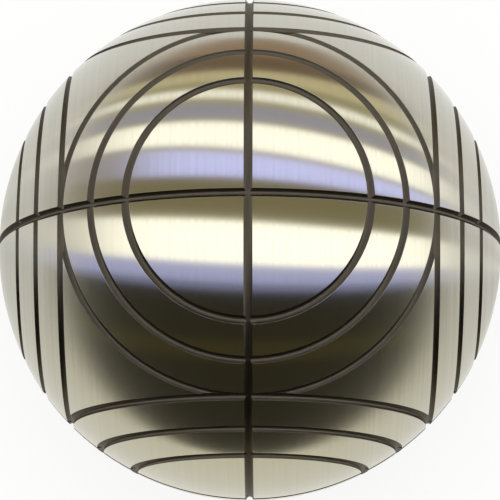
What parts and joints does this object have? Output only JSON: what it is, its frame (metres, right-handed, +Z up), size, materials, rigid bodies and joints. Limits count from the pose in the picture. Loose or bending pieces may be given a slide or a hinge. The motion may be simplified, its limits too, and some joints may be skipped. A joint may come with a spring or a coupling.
{
  "type": "petanque boule",
  "caption": "Leisure petanque boule: a mortar-filled steel ball with a turned pattern of great-circle and ring grooves.",
  "frame": {"origin": "centre of the ball", "axes": "+Z up through a pole of the groove pattern; X is the turning axis, square to the weld between the half shells; -Y is the front pole"},
  "size_m": [0.073, 0.073, 0.073],
  "materials": {
    "shell_steel": "fine-turned, plated and satin bright",
    "weld_steel": "ground flush and plated with the shells",
    "plug_steel": "ground flush and plated with the shells",
    "mortar": "rough cast cement mortar"
  },
  "bodies": {
    "root": {"left_half_shell": "shell_steel", "right_half_shell": "shell_steel", "weld_bead": "weld_steel", "filling_plug": "plug_steel", "mortar_filling": "mortar"}
  },
  "joints": []
}
